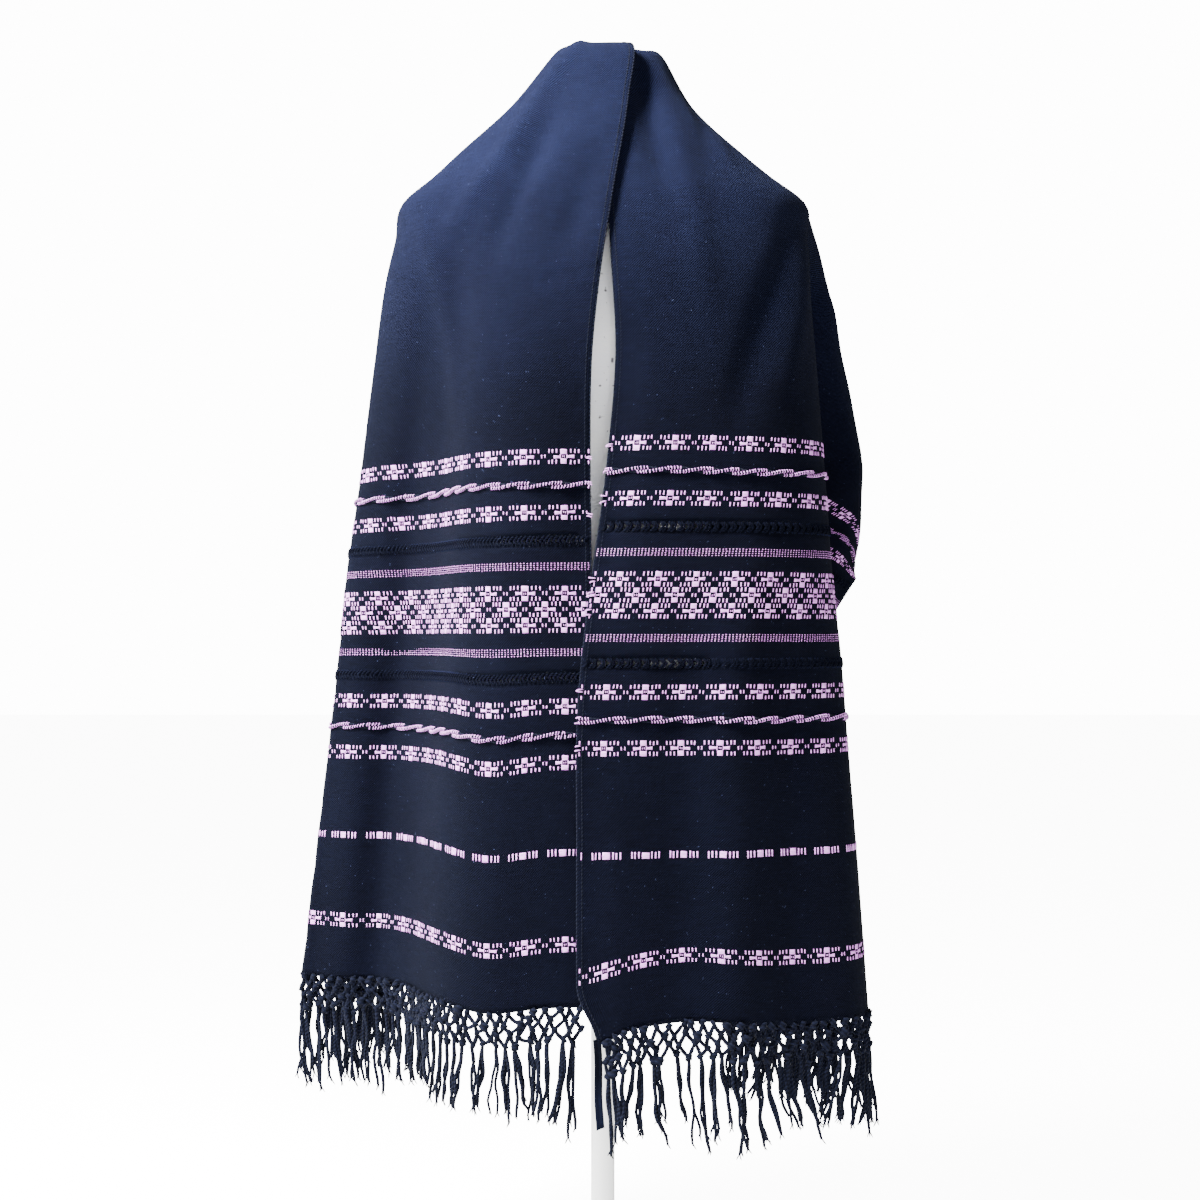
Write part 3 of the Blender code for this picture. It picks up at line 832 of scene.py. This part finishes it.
def twistBands():
    print("twisting the two-strand bands")
    ropes, dashes, highs = [], [], []
    for end, run in bandRuns("twist"):
        phase = draw.uniform(0, 6)
        x = np.linspace(0.001, cloth["width"] - 0.001, 234)
        warp = phase + 2 * math.pi * x / twist["wave"] + 0.5 * np.sin(x * 23 + phase)
        drift = 0.0006 * np.sin(x * 31 + phase)
        for strand in (1, -1):
            y = strand * twist["swing"] * np.cos(warp) + drift
            above = twist["bulge"] * (1 + strand * np.sin(warp))
            ropes.append(onCloth(x, run + y, cloth["thickness"] / 2 + above))
            xs = np.arange(0.002, cloth["width"] - 0.002, twist["dash"])
            for place in xs + draw.normal(0, 0.00025, len(xs)):
                angle = np.interp(place, x, warp)
                if strand * np.sin(angle) < -0.55:
                    continue  # this strand passes under the other
                y = strand * twist["swing"] * np.cos(angle) + np.interp(place, x, drift)
                dashes.append((
                    place, run + y, twist["dashAcross"] * draw.normal(1, 0.12),
                    twist["dashAlong"] * draw.normal(1, 0.12), twist["dashAlong"],
                    twist["dashSlant"] * end["side"] + draw.normal(0, 0.12),
                ))
                highs.append(twist["rope"] * 0.75 + twist["bulge"] * (1 + strand * np.sin(angle)) + 0.0004)
    ropePiece = tubes("twist_ropes", ropes, twist["rope"] * 0.8, 6, yarnFinish)
    return ropePiece, sewFloats("twist_dashes", dashes, highs)


twistRopes, twistDashes = twistBands()


def laceBands():
    # bundles of warp drawn aside and crossed in the open bands
    print("drawing the lace bands")
    strands = []
    reach = lace["half"] + lace["tuckedIn"]
    s = np.linspace(-1, 1, 9)
    bow = 1 - np.abs(s) ** 1.2
    for middle in laceRuns:
        places = np.arange(cloth["selvedge"] * 0.6, cloth["width"] - cloth["selvedge"] * 0.6, lace["pitch"])
        for k, place in enumerate(places):
            if middle > 0:
                place += 0.0007 if k % 2 else -0.0007
            lean = lace["lean"] * draw.normal(1, 0.10)
            x = place + lean * (bow - 0.5) + draw.normal(0, 0.0002)
            x = np.clip(x, 0.001, cloth["width"] - 0.001)
            strands.append(onCloth(x, middle + s * reach, 0.0004 + lace["high"] * bow))
            # the bundle behind it
            x = min(place + lace["pitch"] * 0.5 + draw.normal(0, 0.0004), cloth["width"] - 0.001)
            if abs(middle - lace["peepRun"]) < 0.002 and lace["peepFrom"] < place < lace["peepTo"]:
                continue
            strands.append(onCloth(x, middle + s * reach, -0.0004 - 0.0004 * bow))
    thick = lace["radius"] * (1 + 0.25 * np.abs(s))
    return tubes("lace_bundles", strands, thick, 5, clothFinish, uvTurns=0.007, blunt=0.9)


laceWork = laceBands()


def selvedges():
    print("cording the selvedges")
    runs = np.linspace(cloth["endLeft"] + 0.001, cloth["endRight"] - 0.001, 420)
    strands, radii = [], []
    for place, radius, lift in ((0.0004, 0.0010, 0.0), (0.0052, 0.0005, cloth["thickness"] / 2)):
        for w in (place, cloth["width"] - place):
            strands.append(onCloth(w, runs, lift))
            radii.append([radius])
    return tubes("selvedge_cords", strands, radii, 6, yarnFinish)


selvedgeCords = selvedges()


def weftTufts():
    # lilac ends that stand out of the inner selvedge beside each figured band
    print("leaving the weft tufts")
    strands = []
    s = np.linspace(0, 1, 7)[:, None]
    for _, middle in bandRuns("flower", "twist", "flowerHalf"):
        for _ in range(2):
            run = middle + draw.uniform(-0.004, 0.004)
            edge, normal = onCloth(np.zeros(1), run, np.array([0.0012]))
            back = unit(edge - onCloth(np.array([0.01]), run)[0])
            size = draw.uniform(0.002, 0.0042)
            drop = np.array([0, 0, -1.0]) * draw.uniform(-0.4, 1.0)
            loop = edge - back * 0.004 * (1 - s) + back * size * np.sin(s * math.pi * 0.8)
            loop = loop + drop * size * s**1.5 + normal * 0.0008 * np.sin(s * math.pi)
            strands.append((loop, np.broadcast_to(normal + 0.3 * back, loop.shape)))
    return tubes("weft_tufts", strands, 0.00065, 5, lilacFinish)


tufts = weftTufts()


fringe = {
    "pitch": 0.0117,  # between knots under the hem
    "rows": (0.0015, 0.0120, 0.0225, 0.0335),  # depth of each row of knots
    "strand": 0.00155,
    "knot": 0.0040,
    "yarn": 0.00185,
}

# Length of the loose yarns from the inner selvedge (first) to the outer one (last)
yarnLengths = {
    "fringe_left": (0.090, 0.066, 0.066, 0.060, 0.060, 0.076, 0.078, 0.066, 0.058, 0.062, 0.066, 0.070),
    "fringe_right": (0.070, 0.062, 0.078, 0.074, 0.066, 0.074, 0.068, 0.060, 0.062, 0.060, 0.062, 0.066),
}


def underHem(end, width, drop, out=0.0):
    # a place hanging this far below the hem, and the outward direction there
    width = np.asarray(width, float)
    points, normal = onCloth(width, np.full(width.shape, end))
    flat = unit(normal * np.array([1, 1, 0]))
    points = points + flat * np.asarray(out)[..., None]
    points[..., 2] -= drop
    return points, flat


def modelKnot():
    # a pulled-tight half knot: a squat ball with two turns of yarn round it
    deselectAll()
    bpy.ops.mesh.primitive_uv_sphere_add(segments=9, ring_count=7, radius=1)
    piece = bpy.context.object
    corners, faces = cornersAndFaces(piece)
    angle = np.arctan2(corners[:, 1], corners[:, 0])
    ridge = 1 + 0.16 * np.sin(2 * angle + corners[:, 2] * 5.0)
    return corners * ridge[:, None] * np.array([1.1, 0.85, 0.95]), faces


knotCorners, knotFaces = modelKnot()


def knotRows():
    # width, depth below the hem and distance outwards of every knot, row by row
    pitch = fringe["pitch"]
    count = int(cloth["width"] / pitch)
    start = (cloth["width"] - (count - 1) * pitch) / 2
    rows = []
    for level, drop in enumerate(fringe["rows"]):
        half = level % 2
        w = start + (np.arange(count - half) + half / 2) * pitch
        w = w + draw.normal(0, 0.0018, len(w))
        d = drop + draw.normal(0, 0.0020, len(w)) * min(1, level + 0.3)
        rows.append((w, d, draw.normal(0, 0.0012, len(w))))
    return rows


def crossPairs(name, end, rows):
    # a pair of yarns from each knot to the two nearest knots below it
    strands, radii = [], []
    s = np.linspace(0, 1, 6)
    sag = np.sin(s * math.pi)
    for level, lower in enumerate(rows[1:]):
        for k, knot in enumerate(zip(*rows[level])):
            for b in (k - 1 + level % 2, k + level % 2):
                if not 0 <= b < len(lower[0]):
                    continue
                bow = draw.normal(0, 0.0007)
                w, d, o = (high + (low[b] - high) * s for high, low in zip(knot, lower))
                for yarn in (-1, 1):
                    across = np.clip(w + sag * (yarn * 0.00075 + bow), 0.0, cloth["width"])
                    out = o + yarn * 0.0006 * np.cos(s * 5 + k)
                    strands.append(underHem(end, across, d + sag * 0.0012, out))
                    radii.append([draw.normal(1, 0.08) * fringe["strand"]])
    return tubes(name, strands, radii, 5, yarnFinish, blunt=0.8)


def tieKnots(name, end, rows):
    places, sizes = [], []
    for w, d, o in rows:
        places += list(underHem(end, np.clip(w, 0, cloth["width"]), d, o)[0])
        sizes += list(fringe["knot"] * draw.normal(1, 0.12, len(w)))
    many = len(places)
    turn = draw.uniform(0, 2 * math.pi, many)
    tilt = draw.normal(0, 0.35, many)
    c, s = np.cos(turn)[:, None], np.sin(turn)[:, None]
    x = knotCorners[None, :, 0] * c - knotCorners[None, :, 1] * s
    y = knotCorners[None, :, 0] * s + knotCorners[None, :, 1] * c
    z = knotCorners[None, :, 2] + x * tilt[:, None]
    points = np.array(places)[:, None, :] + np.stack([x, y, z], -1) * np.array(sizes)[:, None, None]
    around = np.arctan2(knotCorners[:, 1], knotCorners[:, 0]) / 6.28
    pointUv = np.tile(np.stack([around, knotCorners[:, 2] * 0.004], 1), (many, 1))
    return laidMany(name, points, pointUv, knotFaces, yarnFinish)


def looseYarns(name, end, lastRow):
    # yarns below the last knots, in clumps that drift together, each with a frayed tip
    lengths = yarnLengths[name]
    stations = np.linspace(0, cloth["width"], len(lengths))
    s = np.linspace(0, 1, 12)
    t = np.linspace(0, 1, 5)[:, None]
    yarns, radii, wisps = [], [], []
    drift = 0.0
    for w, d, o in zip(*lastRow):
        drift = 0.72 * drift + draw.normal(0, 0.0055)
        length = np.interp(w, stations, lengths) * draw.uniform(0.86, 1.12)
        count = draw.integers(2, 4)
        depth = draw.normal(0, 0.004)
        phase = draw.uniform(0, 6)
        for yarn in range(count):
            own = length * draw.normal(1.0, 0.07)
            aside = (yarn - (count - 1) / 2) * 0.0021
            wave = 0.0018 * np.sin(phase + s * draw.uniform(5, 9))
            wave = wave + 0.0011 * np.sin(yarn + s * draw.uniform(10, 16))
            across = w + aside * np.minimum(1, s * 5) + drift * s**1.4 + wave * s**0.5
            across = np.clip(across + draw.normal(0, 0.0026) * s**2, 0, cloth["width"])
            out = o + depth * s**1.5 + draw.normal(0, 0.002) * s + 0.0012 * np.sin(s * 8 + yarn * 2)
            points, flat = underHem(end, across, d + own * s, out)
            yarns.append((points, flat))
            radii.append(fringe["yarn"] * draw.normal(1, 0.10) * (1 - 0.15 * s))
            fall = unit(points[-1] - points[-3])
            for _ in range(3):
                spread = unit(np.array([draw.normal(), draw.normal() * 0.7, 0.0]))
                reach = draw.uniform(0.004, 0.009)
                fan = points[-1] - fall * 0.003 + fall * reach * t + spread * reach * 0.42 * t**1.6
                wisps.append((fan, np.broadcast_to(flat[-1], fan.shape)))
    return [
        tubes(name + "_yarns", yarns, radii, 6, yarnFinish, blunt=0.8),
        tubes(name + "_wisps", wisps, 0.00065, 4, yarnFinish),
    ]


def knotFringe(name, end):
    rows = knotRows()
    net = [crossPairs(name + "_net", end, rows), tieKnots(name + "_knots", end, rows)]
    yarns = looseYarns(name, end, rows[-1])
    return joined(name + "_net", net), joined(name + "_yarns", yarns)


print("knotting the fringes")
fringeLeft = knotFringe("fringe_left", cloth["endLeft"])
fringeRight = knotFringe("fringe_right", cloth["endRight"])


tapeSize = {"width": 0.0075, "length": 0.088, "thickness": 0.0012}


def hangTape():
    # the flat dark tape that hangs from the inner corner of the +X hem
    print("hanging the corner tape")
    top, _ = underHem(cloth["endRight"], np.array([0.0045]), -0.004, np.array([0.001]))
    deselectAll()
    bpy.ops.mesh.primitive_grid_add(x_subdivisions=4, y_subdivisions=16, size=1)
    piece = bpy.context.object
    piece.name = "corner_tape"
    for v in piece.data.vertices:
        along = 0.5 - v.co.y
        x = top[0, 0] - 0.004 + v.co.x * tapeSize["width"] + 0.003 * along + 0.0006 * math.sin(along * 7)
        y = top[0, 1] + 0.0006 * math.cos(v.co.x * 6) + 0.002 * math.sin(along * 3)
        z = top[0, 2] - along * tapeSize["length"] + v.co.x * 0.003 * along
        v.co = (x, y, z)
    piece.data.materials.append(clothFinish)
    piece.data.shade_smooth()
    applyWall(piece, tapeSize["thickness"])
    return piece


tape = hangTape()

# Dress form: height, half width, depth to the front, depth to the back
formRings = (
    (0.600, 0.146, 0.100, 0.108), (0.650, 0.150, 0.102, 0.114), (0.720, 0.142, 0.098, 0.106),
    (0.830, 0.114, 0.092, 0.092), (0.930, 0.126, 0.104, 0.100), (1.010, 0.146, 0.118, 0.110),
    (1.080, 0.162, 0.112, 0.114), (1.130, 0.178, 0.098, 0.108), (1.165, 0.168, 0.080, 0.090),
    (1.195, 0.130, 0.066, 0.074), (1.225, 0.086, 0.056, 0.060), (1.255, 0.054, 0.045, 0.045),
    (1.306, 0.044, 0.041, 0.041), (1.315, 0.040, 0.037, 0.037), (1.318, 0.034, 0.031, 0.031),
)
form = {"around": 96, "rings": 85, "power": 2.2, "lean": 0.004}


def coverTorso():
    # a drum cut into rings, each ring then shaped to the form's outline
    print("covering the dress form")
    deselectAll()
    bpy.ops.mesh.primitive_cylinder_add(vertices=form["around"], radius=1, depth=1, location=(0, 0, 0.5))
    piece = bpy.context.object
    piece.name = "form_cover"
    bpy.ops.object.transform_apply(location=True, rotation=False, scale=False)
    mesh = piece.data
    bpy.ops.object.mode_set(mode="EDIT")
    bpy.ops.mesh.select_mode(type="EDGE")
    bpy.ops.mesh.select_all(action="DESELECT")
    bpy.ops.object.mode_set(mode="OBJECT")
    for edge in mesh.edges:
        a, b = (mesh.vertices[k].co for k in edge.vertices)
        edge.select = abs(a.z - b.z) > 0.5
    bpy.ops.object.mode_set(mode="EDIT")
    bpy.ops.mesh.subdivide(number_cuts=form["rings"] - 1)
    bpy.ops.object.mode_set(mode="OBJECT")
    corners = np.array([list(v.co) for v in mesh.vertices])
    level = corners[:, 2] * (len(formRings) - 1)
    table = smoothCurve(np.arange(len(formRings)), formRings, level)
    angle = np.arctan2(corners[:, 1], corners[:, 0])
    x = np.sign(np.cos(angle)) * np.abs(np.cos(angle)) ** (2 / form["power"]) * table[:, 1]
    y = np.sign(np.sin(angle)) * np.abs(np.sin(angle)) ** (2 / form["power"])
    y = y * np.where(y < 0, table[:, 2], table[:, 3]) + form["lean"]
    mesh.vertices.foreach_set("co", np.stack([x, y, table[:, 0]], 1).ravel())
    mesh.materials.append(linenFinish)
    pick(piece)
    bpy.ops.object.mode_set(mode="EDIT")
    bpy.ops.mesh.select_all(action="SELECT")
    bpy.ops.mesh.normals_make_consistent(inside=False)
    bpy.ops.object.mode_set(mode="OBJECT")
    bpy.ops.object.shade_smooth_by_angle(angle=math.radians(50))
    return piece


torso = coverTorso()


collars = {"footRadius": 0.024, "footTop": 0.020, "neckRadius": 0.020, "neckLow": 0.022, "edge": 0.0018}


def turnCollar(name, low, high, radius, hole):
    # a turned ring round the pole, with softened edges
    deselectAll()
    middle = (0, 0, (low + high) / 2)
    bpy.ops.mesh.primitive_cylinder_add(vertices=48, radius=radius, depth=high - low, location=middle)
    piece = bpy.context.object
    piece.name = name
    bpy.ops.object.transform_apply(location=True, rotation=False, scale=False)
    bpy.ops.object.mode_set(mode="EDIT")
    bpy.ops.mesh.select_mode(type="FACE")
    bpy.ops.mesh.select_all(action="DESELECT")
    bpy.ops.object.mode_set(mode="OBJECT")
    for face in piece.data.polygons:
        face.select = abs(face.normal.z) > 0.9
    bpy.ops.object.mode_set(mode="EDIT")
    bpy.ops.mesh.inset(thickness=radius - hole)
    bpy.ops.mesh.bridge_edge_loops()
    bpy.ops.object.mode_set(mode="OBJECT")
    edge = piece.modifiers.new("edge", "BEVEL")
    edge.width = collars["edge"]
    edge.segments = 3
    edge.limit_method = "ANGLE"
    pick(piece)
    bpy.ops.object.modifier_apply(modifier="edge")
    piece.data.materials.append(paintFinish)
    bpy.ops.object.shade_smooth_by_angle(angle=math.radians(40))
    return piece


print("finishing the stand")
poleRadius, _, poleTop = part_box("form_pole")[1]
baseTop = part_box("form_base")[1][2]
footCollar = turnCollar(
    "foot_collar", baseTop + 0.0002, baseTop + collars["footTop"], collars["footRadius"], poleRadius + 0.0001)
neckCollar = turnCollar(
    "pole_collar", poleTop - collars["neckLow"], poleTop - 0.0004, collars["neckRadius"], poleRadius + 0.0001)
for node in ("form_pole", "form_base"):
    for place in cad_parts[node].material_slots:
        place.material = paintFinish

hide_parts("shawl_left_front", "shawl_back", "shawl_right_front")
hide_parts("fringe_left")
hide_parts("fringe_right")
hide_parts("form_torso")

slots = {
    "navy_cloth": [shawl, laceWork, tape],
    "lilac_weft": [*brocades, twistDashes, tufts],
    "fringe_yarn": [twistRopes, selvedgeCords, *fringeLeft, *fringeRight],
    "form_linen": [torso],
    "stand_paint": [footCollar, neckCollar],
}
for slotName, pieces in slots.items():
    for piece in pieces:
        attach(piece, "root")

studio = {
    "world": 0.50,
    "seen": 14.0,  # how bright the paper backdrop looks
    "floor": (0.93, 0.93, 0.93),
    "lens": 57.0,
    "camera": (-0.003, -2.04, 0.714),
    "tilt": 91.055,  # degrees from straight down
    # place, aim, size, power
    "lamps": {
        "key": ((-1.05, -0.72, 2.30), (-0.18, -0.05, 1.20), 0.5, 400),
        "fill": ((0.5, -3.2, 0.95), (0.0, 0.0, 0.75), 1.4, 48),
        "side": ((-2.3, -0.35, 1.15), (-0.15, -0.05, 0.75), 0.9, 110),
    },
}


def setStudio():
    print("lighting the studio")
    deselectAll()
    bpy.ops.mesh.primitive_plane_add(size=30, location=(0, 0, -0.0006))
    floor = bpy.context.object
    floor.name = "floor"
    material, tree, shader = newMaterial("studioFloor", studio["floor"], 0.9, Emission_Color=(1, 1, 1, 1))
    seen = addNode(tree, "LightPath").outputs["Is Camera Ray"]
    tree.links.new(maths(tree, "MULTIPLY", seen, studio["seen"] * 0.8), shader.inputs["Emission Strength"])
    floor.data.materials.append(material)
    world = bpy.data.worlds.new("studioLight")
    world.use_nodes = True
    sky = world.node_tree.nodes["Background"]
    sky.inputs["Color"].default_value = (1, 1, 1, 1)
    seen = addNode(world.node_tree, "LightPath").outputs["Is Camera Ray"]
    strength = addNode(world.node_tree, "MapRange", Value=seen, To_Min=studio["world"], To_Max=studio["seen"])
    world.node_tree.links.new(strength.outputs[0], sky.inputs["Strength"])
    bpy.context.scene.world = world
    for name, (place, aim, size, power) in studio["lamps"].items():
        lamp = bpy.data.lights.new(name, "AREA")
        lamp.energy = power
        lamp.size = size
        light = bpy.data.objects.new(name, lamp)
        light.location = place
        light.rotation_euler = (Vector(aim) - Vector(place)).to_track_quat("-Z", "Y").to_euler()
        bpy.context.scene.collection.objects.link(light)
    lens = bpy.data.cameras.new("camera")
    lens.lens = studio["lens"]
    lens.sensor_width = 36.0
    camera = bpy.data.objects.new("camera", lens)
    camera.location = studio["camera"]
    camera.rotation_euler = (math.radians(studio["tilt"]), 0, 0)
    bpy.context.scene.collection.objects.link(camera)
    bpy.context.scene.camera = camera


setStudio()
